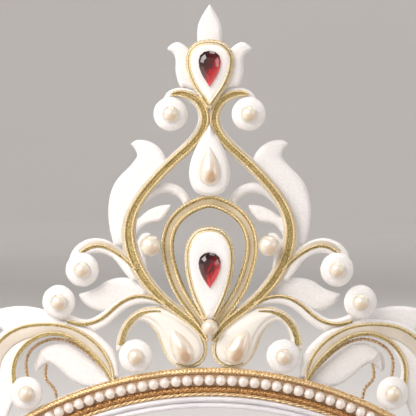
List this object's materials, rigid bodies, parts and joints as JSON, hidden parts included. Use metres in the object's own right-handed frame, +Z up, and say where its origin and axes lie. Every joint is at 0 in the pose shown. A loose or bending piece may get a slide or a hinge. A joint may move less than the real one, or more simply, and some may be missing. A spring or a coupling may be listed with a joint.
{
  "type": "mukut crown",
  "caption": "Bridal head crown: an openwork scroll front in white felt with gold cord, pearls and red pear-cut stones on a closed satin band.",
  "frame": {"origin": "centre of the bounding box in X and Y, on the lower edge of the band on which the crown stands", "axes": "+Z up, +X to the right as seen from the front, and the decorated front faces -Y"},
  "size_m": [0.2076, 0.1746, 0.1822],
  "materials": {
    "white_felt": "matte felt",
    "white_pad": "smooth padded cloth",
    "white_satin": "soft satin",
    "cream_satin": "glossy satin",
    "champagne_cloth": "matte cloth",
    "gold_cord": "metallic thread",
    "gold_braid": "metallic thread",
    "bronze_braid": "metallic thread",
    "pearl": "pearl lustre",
    "red_stone": "cut and polished",
    "thread": "matte thread"
  },
  "bodies": {
    "root": {"acanthus_leaf_left": "white_felt", "acanthus_leaf_right": "white_felt", "arch_leaf_left": "white_felt", "arch_leaf_right": "white_felt", "base_band": "white_satin", "base_pearl": "pearl", "bottom_braid": "bronze_braid", "comma_pearl_left": "pearl", "comma_pearl_right": "pearl", "comma_scroll_left": "cream_satin", "comma_scroll_right": "cream_satin", "corner_disc_left": "white_felt", "corner_disc_right": "white_felt", "corner_pearl_left": "pearl", "corner_pearl_right": "pearl", "crest_leaf": "white_felt", "crest_pad": "white_pad", "crest_ruby": "red_stone", "fan_leaf_left": "white_felt", "fan_leaf_right": "white_felt", "heart_pad": "white_pad", "heart_ruby": "red_stone", "inner_disc_left": "white_felt", "inner_disc_right": "white_felt", "inner_pearl_left": "pearl", "inner_pearl_right": "pearl", "loop": "champagne_cloth", "loop_cord": "gold_cord", "loop_pearl_left": "pearl", "loop_pearl_right": "pearl", "low_disc_left": "white_felt", "low_disc_right": "white_felt", "low_pearl_left": "pearl", "low_pearl_right": "pearl", "lower_leaf_left": "white_felt", "lower_leaf_right": "white_felt", "outer_leaf_left": "white_felt", "outer_leaf_right": "white_felt", "pearl_string": "pearl", "pearl_thread": "thread", "pendant_pad": "white_pad", "pendant_pearl": "pearl", "side_disc_left": "white_felt", "side_disc_right": "white_felt", "side_pearl_left": "pearl", "side_pearl_right": "pearl", "stem_cord_left": "gold_cord", "stem_cord_right": "gold_cord", "stem_left": "white_felt", "stem_right": "white_felt", "top_braid": "gold_braid", "top_disc_left": "white_felt", "top_disc_right": "white_felt", "top_pearl_left": "pearl", "top_pearl_right": "pearl", "volute_cord_left": "gold_cord", "volute_cord_right": "gold_cord", "volute_left": "white_felt", "volute_right": "white_felt"}
  },
  "joints": []
}
